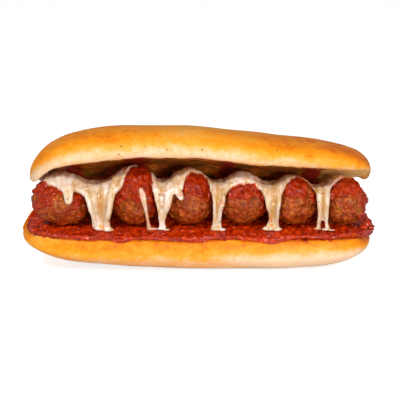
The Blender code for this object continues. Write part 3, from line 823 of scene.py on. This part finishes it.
def cheese_sheet():
    xs = np.linspace(cheese_low.x, cheese_high.x + 0.001, SHEET_COLUMNS)
    front, back = sheet_front(xs), -sheet_back(xs)
    front = front + 0.08 * lumps(np.stack((xs, xs * 0, xs * 0), axis=-1), 0.008, 3, 7.0)
    shares = np.linspace(0, 1, SHEET_ROWS)
    x = np.repeat(xs, SHEET_ROWS)
    place = (back[:, None] + (front - back)[:, None] * shares).ravel()
    arc_length = SHEET_REACH * math.radians(90)
    room = np.minimum(np.repeat(front, SHEET_ROWS) - place, place - np.repeat(back, SHEET_ROWS)) * arc_length
    room = np.minimum(room, np.minimum(x - xs[0], xs[-1] - x))
    rounded = np.sqrt(1 - (1 - np.clip(room / SHEET_ROUND, 0, 1)) ** 2)
    flow = np.stack((x * 1.0, place * 0.004, x * 0), axis=-1)
    inset, half_width, height = THICK_EDGE
    thick_edge = height * np.exp(-(((room - inset) / half_width) ** 2))
    thick_edge *= ease(0.35, 0.6, place) * ease(1.0, 0.75, place)
    ridges = lumps(flow, 0.0050, 2, 8.0) * 0.0008 + thick_edge
    over_last_balls = 0.55 * ease(0.066, 0.078, x) * ease(0.094, 0.086, x) + 0.5 * ease(0.100, 0.108, x)
    thin = (1 - 0.75 * ease(0.72, 1.0, place)) * (1 - over_last_balls)
    outer = cheese_points(x, place, (SHEET_LIFT * thin + ridges) * rounded)
    inner = cheese_points(x, place, np.full(len(x), -SHEET_SINK))
    faces = []
    count = SHEET_COLUMNS * SHEET_ROWS
    for column in range(SHEET_COLUMNS - 1):
        for row in range(SHEET_ROWS - 1):
            a = column * SHEET_ROWS + row
            b = a + SHEET_ROWS
            faces.append((a, a + 1, b + 1, b))
            faces.append((count + a, count + b, count + b + 1, count + a + 1))
    rim = [c * SHEET_ROWS for c in range(SHEET_COLUMNS)]
    rim += [(SHEET_COLUMNS - 1) * SHEET_ROWS + r for r in range(1, SHEET_ROWS)]
    rim += [c * SHEET_ROWS + SHEET_ROWS - 1 for c in range(SHEET_COLUMNS - 2, -1, -1)]
    rim += list(range(SHEET_ROWS - 2, 0, -1))
    for a, b in zip(rim, rim[1:] + rim[:1]):
        faces.append((a, b, count + b, count + a))
    return [tuple(p) for p in np.concatenate((outer, inner))], faces


def run_down(path, count=40, sides=16):
    """A run of cheese with round ends, along stops of the kind listed in CHEESE_RUNS."""
    path = np.array(path, float) * (0.001, 1, 0.001, 0.001, 0.001)
    stops = np.linspace(0, 1, len(path))
    shares = (1 - np.cos(np.linspace(0, math.pi, count))) / 2
    x, place, wide, thick, lift = (smooth_through(list(zip(stops, path[:, i])))(shares) for i in range(5))
    middle = cheese_points(x, place, lift)
    walked = np.concatenate(([0.0], np.cumsum(np.linalg.norm(np.diff(middle, axis=0), axis=1))))
    from_end = np.minimum(walked, walked[-1] - walked)
    points = []
    for i in range(count):
        ahead, behind = middle[min(i + 1, count - 1)], middle[max(i - 1, 0)]
        along = (ahead - behind) / np.linalg.norm(ahead - behind)
        across = np.array((1.0, 0, 0)) - along * along[0]
        across /= np.linalg.norm(across)
        out = np.cross(across, along)
        close = math.sqrt(max(0.004, 1 - (1 - min(1.0, from_end[i] / wide[i])) ** 2))
        for turn in np.linspace(0, 2 * math.pi, sides, endpoint=False):
            side, front = math.cos(turn) * wide[i] * close, math.sin(turn) * thick[i] * close
            points.append(tuple(middle[i] + across * side + out * front))
    return points, tube_faces(count, sides)


def puddle(x, y, half_length, half_width, height):
    """A small foot of cheese spread on the sauce."""
    ball, faces = plain_ball(3)
    z = BOTTOM_EDGE_Z + BOTTOM_SLOPE * (y + CUT_EDGE) + SAUCE_DEPTH + FOOT_LIFT
    shift = Vector((x * 300, y * 300, 0))
    points = []
    for point in ball:
        wobble = 1 + 0.25 * noise.fractal(point * 1.5 + shift, 1.0, 2.0, 2)
        along, across = point.x * half_length * wobble, point.y * half_width * wobble
        points.append((x + along, y + across, z + point.z * height))
    return points, faces


# Runs between the meatballs, left to right: x, place, half width, half thickness and lift. All
# but place are in millimetres.
CHEESE_RUNS = (
    # first curtain: its thin body, its thick right ridge and its left edge
    ((-70, 0.30, 13, 1.2, 1), (-70.6, 0.75, 9.4, 1.2, 1), (-71.4, 1.20, 6.8, 0.9, 0),
     (-71.8, 1.60, 5.2, 1, 0), (-71.2, 2.00, 5.6, 1.2, 1)),
    ((-60.5, 0.20, 2, 1.6, 2), (-63.2, 0.70, 2.7, 2.2, 2), (-65.5, 1.20, 2.2, 2, 2),
     (-67, 1.60, 1.8, 1.7, 2), (-66.8, 1.98, 2.4, 1.6, 1)),
    ((-83, 0.50, 2.4, 1.8, 2), (-79.4, 0.95, 2.1, 1.8, 2), (-77, 1.45, 1.7, 1.6, 2),
     (-75.8, 1.98, 2.4, 1.5, 1)),
    # two strands of the second, with a film between them
    ((-32.5, 0.35, 2.8, 1.4, 1), (-30, 0.85, 1.7, 1.3, 1), (-28.2, 1.30, 1.3, 1.1, 1),
     (-27.9, 1.75, 1.1, 1, 1), (-26.8, 2.00, 1.8, 1, 1)),
    ((-19, 0.35, 4.2, 1.7, 2), (-21.4, 0.80, 3, 1.8, 2), (-24.2, 1.25, 2.1, 1.5, 1),
     (-25.4, 1.65, 1.6, 1.3, 1), (-24.4, 2.00, 2, 1.3, 1)),
    ((-26.2, 0.40, 6, 0.8, 0), (-26.6, 0.80, 4, 0.7, -1), (-26.6, 1.25, 2.2, 0.6, -1)),
    # third, a thin film between two strands
    ((13.5, 0.35, 6, 1, 1), (14.2, 0.90, 3.4, 0.7, 0), (14, 1.40, 2.2, 0.6, 0),
     (13.5, 1.80, 2, 0.8, 0)),
    ((10.5, 0.45, 2.2, 1.4, 1), (12.2, 0.90, 1.4, 1.4, 1), (12.4, 1.40, 1.2, 1.2, 1),
     (11.4, 2.00, 2, 1.2, 1)),
    ((20.8, 0.40, 2.8, 1.7, 2), (18.2, 0.85, 2, 1.6, 2), (16, 1.35, 1.4, 1.3, 1),
     (15.8, 2.00, 2.2, 1.2, 1)),
    # fourth curtain
    ((54, 0.30, 7.8, 1.2, 1), (54.6, 0.80, 5.4, 1, 0), (55.6, 1.25, 4, 0.9, 0), (56, 1.65, 3.2, 1, 0),
     (54.8, 2.00, 4.2, 1.2, 1)),
    ((49, 0.45, 2.2, 1.6, 2), (51.4, 0.95, 1.6, 1.5, 1), (53.4, 1.50, 1.3, 1.3, 1),
     (50.8, 2.00, 2, 1.1, 1)),
    ((60.5, 0.40, 2.4, 1.7, 2), (59.2, 0.90, 1.8, 1.7, 2), (58.3, 1.45, 1.4, 1.4, 1),
     (58.6, 2.00, 2, 1.2, 1)),
    # two strands of the fifth, joined again at the sauce
    ((88, 0.40, 3, 1.5, 1), (89.2, 0.85, 1.9, 1.4, 1), (89.7, 1.35, 1.4, 1.2, 1),
     (88.7, 2.00, 1.8, 1.1, 1)),
    ((95.5, 0.35, 3, 1.6, 2), (94.8, 0.85, 2.1, 1.6, 1), (94.5, 1.35, 1.7, 1.3, 1),
     (95, 1.75, 1.6, 1.1, 1), (96.8, 2.00, 1.8, 1, 1)),
    ((91.8, 0.40, 5.2, 1.2, 1), (92, 0.85, 3.4, 0.9, 0), (92.1, 1.22, 2.6, 0.7, 0),
     (92.1, 1.66, 2.6, 0.7, 0)),
    # drip on the first ball, and the tongue on the third
    ((-95.5, 0.44, 6, 1.4, 2), (-95.2, 0.68, 4.2, 1.8, 2), (-94.6, 0.84, 3.2, 2.2, 2),
     (-94.4, 0.96, 3, 2.3, 2)),
    ((-18, 0.42, 4.4, 1.4, 2), (-14.6, 0.68, 2.9, 1.6, 2), (-11.2, 0.86, 2.2, 1.6, 2)),
)
FOOT_LIFT = 0.0011  # feet lie on the lumps of the sauce
CHEESE_FEET = (  # x, y, half length, half width and height
    (-0.0728, -0.0272, 0.0044, 0.0024, 0.0016), (-0.0668, -0.0282, 0.0052, 0.0024, 0.0015),
    (-0.0266, -0.0268, 0.0036, 0.0018, 0.0012), (-0.0232, -0.0288, 0.0030, 0.0012, 0.0009),
    (0.0128, -0.0272, 0.0036, 0.0022, 0.0014), (0.0172, -0.0280, 0.0036, 0.0014, 0.0011),
    (0.0520, -0.0268, 0.0046, 0.0022, 0.0014), (0.0578, -0.0276, 0.0046, 0.0022, 0.0014),
    (0.0880, -0.0266, 0.0030, 0.0016, 0.0012), (0.0950, -0.0280, 0.0040, 0.0014, 0.0011),
    (0.0986, -0.0298, 0.0026, 0.0009, 0.0008),
)
LOOSE_STRAND = ((-42.4, 0.58, 1.1, 0.7, 0), (-40.4, 0.76, 2.4, 1.3, 1), (-38.4, 1.10, 1.4, 1.2, 1),
                (-37, 1.55, 1.1, 1, 1), (-35.8, 2.00, 1.8, 1.1, 1))
STRAND_FOOT = (-0.0338, -0.0272, 0.0040, 0.0014, 0.0010)

# Yellower, oilier middles of the runs, with painted shade in their hollows: x and half width, and the z and
# half height of them all
OIL_AND_SHADE_MIDDLES = ((-0.0715, 0.0034), (0.0140, 0.0014), (0.0556, 0.0026), (0.0920, 0.0016))
OIL_AND_SHADE_Z, OIL_AND_SHADE_HEIGHT = 0.052, 0.013


def melt_together(piece, voxel, passes):
    """Joins overlapping shapes in one skin and softens it."""
    remesh = piece.modifiers.new("melted", "REMESH")
    remesh.mode = "VOXEL"
    remesh.voxel_size = voxel
    remesh.use_smooth_shade = True
    soft = piece.modifiers.new("soft", "SMOOTH")
    soft.factor = 0.5
    soft.iterations = passes
    bpy.context.view_layer.update()
    done = bpy.data.meshes.new_from_object(piece.evaluated_get(bpy.context.evaluated_depsgraph_get()))
    piece.modifiers.clear()
    piece.data = done
    piece.data.shade_smooth()


cheese = Finish("melted_cheese", 0.3, subsurface=0.2, specular=0.5)
cheese_tone = cheese.ramp(
    cheese.speckle(0.006, 4, 0.6, warp=0.6, stretch=(1, 0.6, 0.35)),
    ((0.28, paint(184, 138, 78)), (0.42, paint(206, 172, 130)), (0.54, paint(222, 200, 178)),
     (0.72, paint(238, 224, 216))),
)
# A darker yellow tan: oil in the runs' middles, and also painted shade in their hollows and on the cheese
# towards the back, under the top half.
cheese_tone = cheese.mix(cheese.marked("oil_and_shade"), cheese_tone, paint(184, 132, 56))
cheese_tone = cheese.mix(cheese.marked("stain"), cheese_tone, paint(206, 96, 44))
cheese.colour(cheese_tone)
cheese.gloss(cheese.speckle(0.005, 3), 0.10, 0.42)
cheese.bump(cheese.speckle(0.0035, 3, 0.5, stretch=(1, 1, 0.4)), 0.08, 0.0005)

melted = scatter(
    "melted_cheese",
    [cheese_sheet(), *(run_down(path) for path in CHEESE_RUNS), *(puddle(*foot) for foot in CHEESE_FEET)],
)
melt_together(melted, CHEESE_VOXEL, 8)
spots = points_of(melted)
stringy = lumps(spots * (1, 0.25, 0.16), 0.0030, 2, 9.0) * 0.0004
stringy += lumps(spots, 0.007, 3, 9.5) * 0.0005
move_points(melted, spots + normals_of(melted) * stringy[:, None])


def above_balls(points):
    """Height of each point over the nearest plain ball."""
    heights = []
    for ball in balls:
        away = points - ball.centre
        far = np.linalg.norm(away, axis=1)
        heights.append(far * (1 - 1 / np.sqrt(((away / ball.reach) ** 2).sum(1))))
    return np.min(heights, axis=0)


thinness = ease(0.0024, 0.0010, above_balls(spots))  # thin edges let the sauce show through
mark(melted, "stain", np.maximum(0.65 * thinness, 0.5 * ease(0.35, 0.80, lumps(spots, 0.007, 4, 10.0))))
halfway_up = ((spots[:, 2] - OIL_AND_SHADE_Z) / OIL_AND_SHADE_HEIGHT) ** 4
oil_and_shade = sum(np.exp(-(((spots[:, 0] - x) / wide) ** 2 + halfway_up)) for x, wide in OIL_AND_SHADE_MIDDLES)
# Painted shade: the cheese darkens towards the back, under the top half.
behind = 0.85 * ease(-0.016, 0.000, spots[:, 1])
mark(melted, "oil_and_shade", np.maximum(oil_and_shade, behind))
lay(melted, cheese, "cheese", "cheese")

strand = scatter("cheese_strand_melted", [run_down(LOOSE_STRAND), puddle(*STRAND_FOOT)])
melt_together(strand, CHEESE_VOXEL * 0.8, 2)
spots = points_of(strand)
mark(strand, "stain", 0.35 + 0.3 * lumps(spots, 0.004, 3, 12.0))
mark(strand, "oil_and_shade", np.zeros(len(spots)))
lay(strand, cheese, "cheese", "cheese_strand")


# ---- Herbs and oil ----
# Dried herbs, strewn over the sauce, the cheese and the roll, show as small dark flakes. Fat from
# the cheese has pooled in orange drops where its runs meet the sauce.

HERB_SIZE = (0.0002, 0.0005)
HERB_THICKNESS = 0.00012
HERB_CORNERS = 7
# Where flakes lie: lowest and highest z they are dropped at, which way they fall, and how many
HERB_BANDS = ((0.026, 0.036, (0, 1, -0.25), 46), (0.040, 0.072, (0, 1, -0.1), 40),
              (0.066, 0.080, (0, 1, 0.5), 26))
OIL_DROPS = ((-0.0712, 0.0345, 0.0014), (-0.0695, 0.0332, 0.0008), (0.0545, 0.0352, 0.0014),
             (0.0152, 0.0342, 0.0009), (0.0128, 0.0400, 0.0008), (0.0905, 0.0350, 0.0010))  # x, z, radius
IN_FRONT = -0.08  # y of a place clear of the sandwich


def touched(start, direction):
    """First place that a straight line meets on the food, with the way out of it."""
    found = None
    for tree in surfaces:
        place, out, _, distance = tree.ray_cast(Vector(start), Vector(direction).normalized())
        if place is not None and (found is None or distance < found[2]):
            found = (place, out, distance)
    return found


def herb(rng, place, out):
    """A torn leaf flake, a little bent, lying on the surface."""
    size = rng.uniform(*HERB_SIZE)
    long = rng.uniform(1.0, 2.2)
    turn = out.to_track_quat("Z", "X").to_matrix()
    spin = rng.uniform(0, math.pi)
    rim = [(math.cos(t) * size * long * rng.uniform(0.7, 1.1), math.sin(t) * size * rng.uniform(0.7, 1.1))
           for t in np.linspace(0, 2 * math.pi, HERB_CORNERS, endpoint=False)]
    points = []
    for height in (HERB_THICKNESS, -HERB_THICKNESS):
        for a, b in rim:
            x, y = a * math.cos(spin) - b * math.sin(spin), a * math.sin(spin) + b * math.cos(spin)
            points.append(tuple(place + turn @ Vector((x, y, height + 0.15 * abs(a)))))
    n = HERB_CORNERS
    faces = [tuple(range(n)), tuple(range(2 * n - 1, n - 1, -1))]
    faces += [(i, i + n, (i + 1) % n + n, (i + 1) % n) for i in range(n)]
    return points, faces


solid_parts = [bpy.data.objects[name] for name in
               ("tomato_sauce", "tomato_bits", "melted_cheese", "top_half",
                *(f"browned_meatball_{i + 1}" for i in range(6)))]
bpy.context.view_layer.update()
surfaces = [BVHTree.FromPolygons([v.co for v in o.data.vertices], [p.vertices for p in o.data.polygons])
            for o in solid_parts]
rng = np.random.default_rng(7)
flakes = []
for low, high, aim, many in HERB_BANDS:
    for _ in range(many):
        hit = touched((rng.uniform(-0.118, 0.122), IN_FRONT, rng.uniform(low, high)), aim)
        if hit:
            flakes.append(herb(rng, hit[0] + hit[1] * HERB_THICKNESS, hit[1]))
herbs = scatter("herb_flakes", flakes)
face_out(herbs)
herb_finish = Finish("dried_herb", 0.6, specular=0.3)
herb_finish.colour(herb_finish.ramp(
    herb_finish.speckle(0.002, 2),
    ((0.35, paint(64, 44, 8)), (0.5, paint(100, 74, 16)), (0.65, paint(140, 76, 22))),
))
herb_finish.bump(herb_finish.speckle(0.0005, 2), 0.3, 0.0001)
lay(herbs, herb_finish, "herbs")

drops = []
for x, z, size in OIL_DROPS:
    place, out, _ = touched((x, IN_FRONT, z), (0, 1, 0))
    turn = out.to_track_quat("Z", "X").to_matrix()
    ball, faces = plain_ball(3)
    flat = Vector((size, size * 1.25, size * 0.45))
    drops.append(([tuple(place + turn @ (point * flat)) for point in ball], faces))
oil = scatter("oil_drops", drops)
oil_finish = Finish("orange_oil", 0.12, specular=0.6)
oil_finish.colour(oil_finish.ramp(
    oil_finish.speckle(0.002, 2), ((0.4, paint(212, 124, 34)), (0.6, paint(228, 156, 70)))
))
oil_finish.bump(oil_finish.speckle(0.001, 2), 0.05, 0.0001)
lay(oil, oil_finish, "oil")


# ---- The studio ----
# A white table in a pale room, lit by a lamp high on the left, a weaker one on the right and one
# low in front that reaches under the top half.

TABLE_SIZE = 4.0
TABLE_GLOW = 0.75  # brings the table up to white for the camera alone
ROOM_LIGHT = 0.28
LAMPS = (("high_left", (-0.55, -0.85, 1.00), 0.20, 10.8), ("right", (0.75, -0.90, 0.55), 0.25, 3.6),
         ("low_front", (0.32, -1.15, 0.10), 0.25, 7.2))  # name, place, size and watts
SIGHT = Vector((0.0015, -0.020, 0.0527))
SIGHT_DISTANCE = 1.110
SIGHT_DOWN = math.radians(12)

corners = ((-1, -1), (1, -1), (1, 1), (-1, 1))
table = mesh_piece("table", [(x * TABLE_SIZE, y * TABLE_SIZE, 0) for x, y in corners], [(0, 1, 2, 3)])
white = bpy.data.materials.new("white_table")
white.use_nodes = True
tree = white.node_tree
surface = tree.nodes["Principled BSDF"]
surface.inputs["Base Color"].default_value = (0.8, 0.8, 0.8, 1)
surface.inputs["Roughness"].default_value = 0.9
surface.inputs["Specular IOR Level"].default_value = 0.0
rays = tree.nodes.new("ShaderNodeLightPath")
seen = tree.nodes.new("ShaderNodeMath")
seen.operation = "MULTIPLY"
seen.inputs[1].default_value = TABLE_GLOW
tree.links.new(rays.outputs["Is Camera Ray"], seen.inputs[0])
surface.inputs["Emission Color"].default_value = (1, 1, 1, 1)
tree.links.new(seen.outputs["Value"], surface.inputs["Emission Strength"])
table.data.materials.append(white)

room = bpy.data.worlds.new("white_room")
room.use_nodes = True
bpy.context.scene.world = room
tree = room.node_tree
background = tree.nodes["Background"]
background.inputs["Color"].default_value = (1, 1, 1, 1)
rays = tree.nodes.new("ShaderNodeLightPath")
level = tree.nodes.new("ShaderNodeMapRange")
level.inputs["To Min"].default_value = ROOM_LIGHT
level.inputs["To Max"].default_value = 1.0
tree.links.new(rays.outputs["Is Camera Ray"], level.inputs["Value"])
tree.links.new(level.outputs["Result"], background.inputs["Strength"])

for name, place, size, power in LAMPS:
    data = bpy.data.lights.new(name, "AREA")
    data.shape = "SQUARE"
    data.size = size
    data.energy = power
    lamp = bpy.data.objects.new(name, data)
    lamp.location = place
    lamp.rotation_euler = (SIGHT - Vector(place)).to_track_quat("-Z", "Y").to_euler()
    bpy.context.scene.collection.objects.link(lamp)

view = bpy.data.cameras.new("camera")
view.lens = 135
view.sensor_width = 36
camera = bpy.data.objects.new("camera", view)
camera.location = SIGHT + Vector((0, -math.cos(SIGHT_DOWN), math.sin(SIGHT_DOWN))) * SIGHT_DISTANCE
camera.rotation_euler = (SIGHT - camera.location).to_track_quat("-Z", "Y").to_euler()
bpy.context.scene.collection.objects.link(camera)
bpy.context.scene.camera = camera
bpy.context.scene.view_settings.view_transform = "Standard"
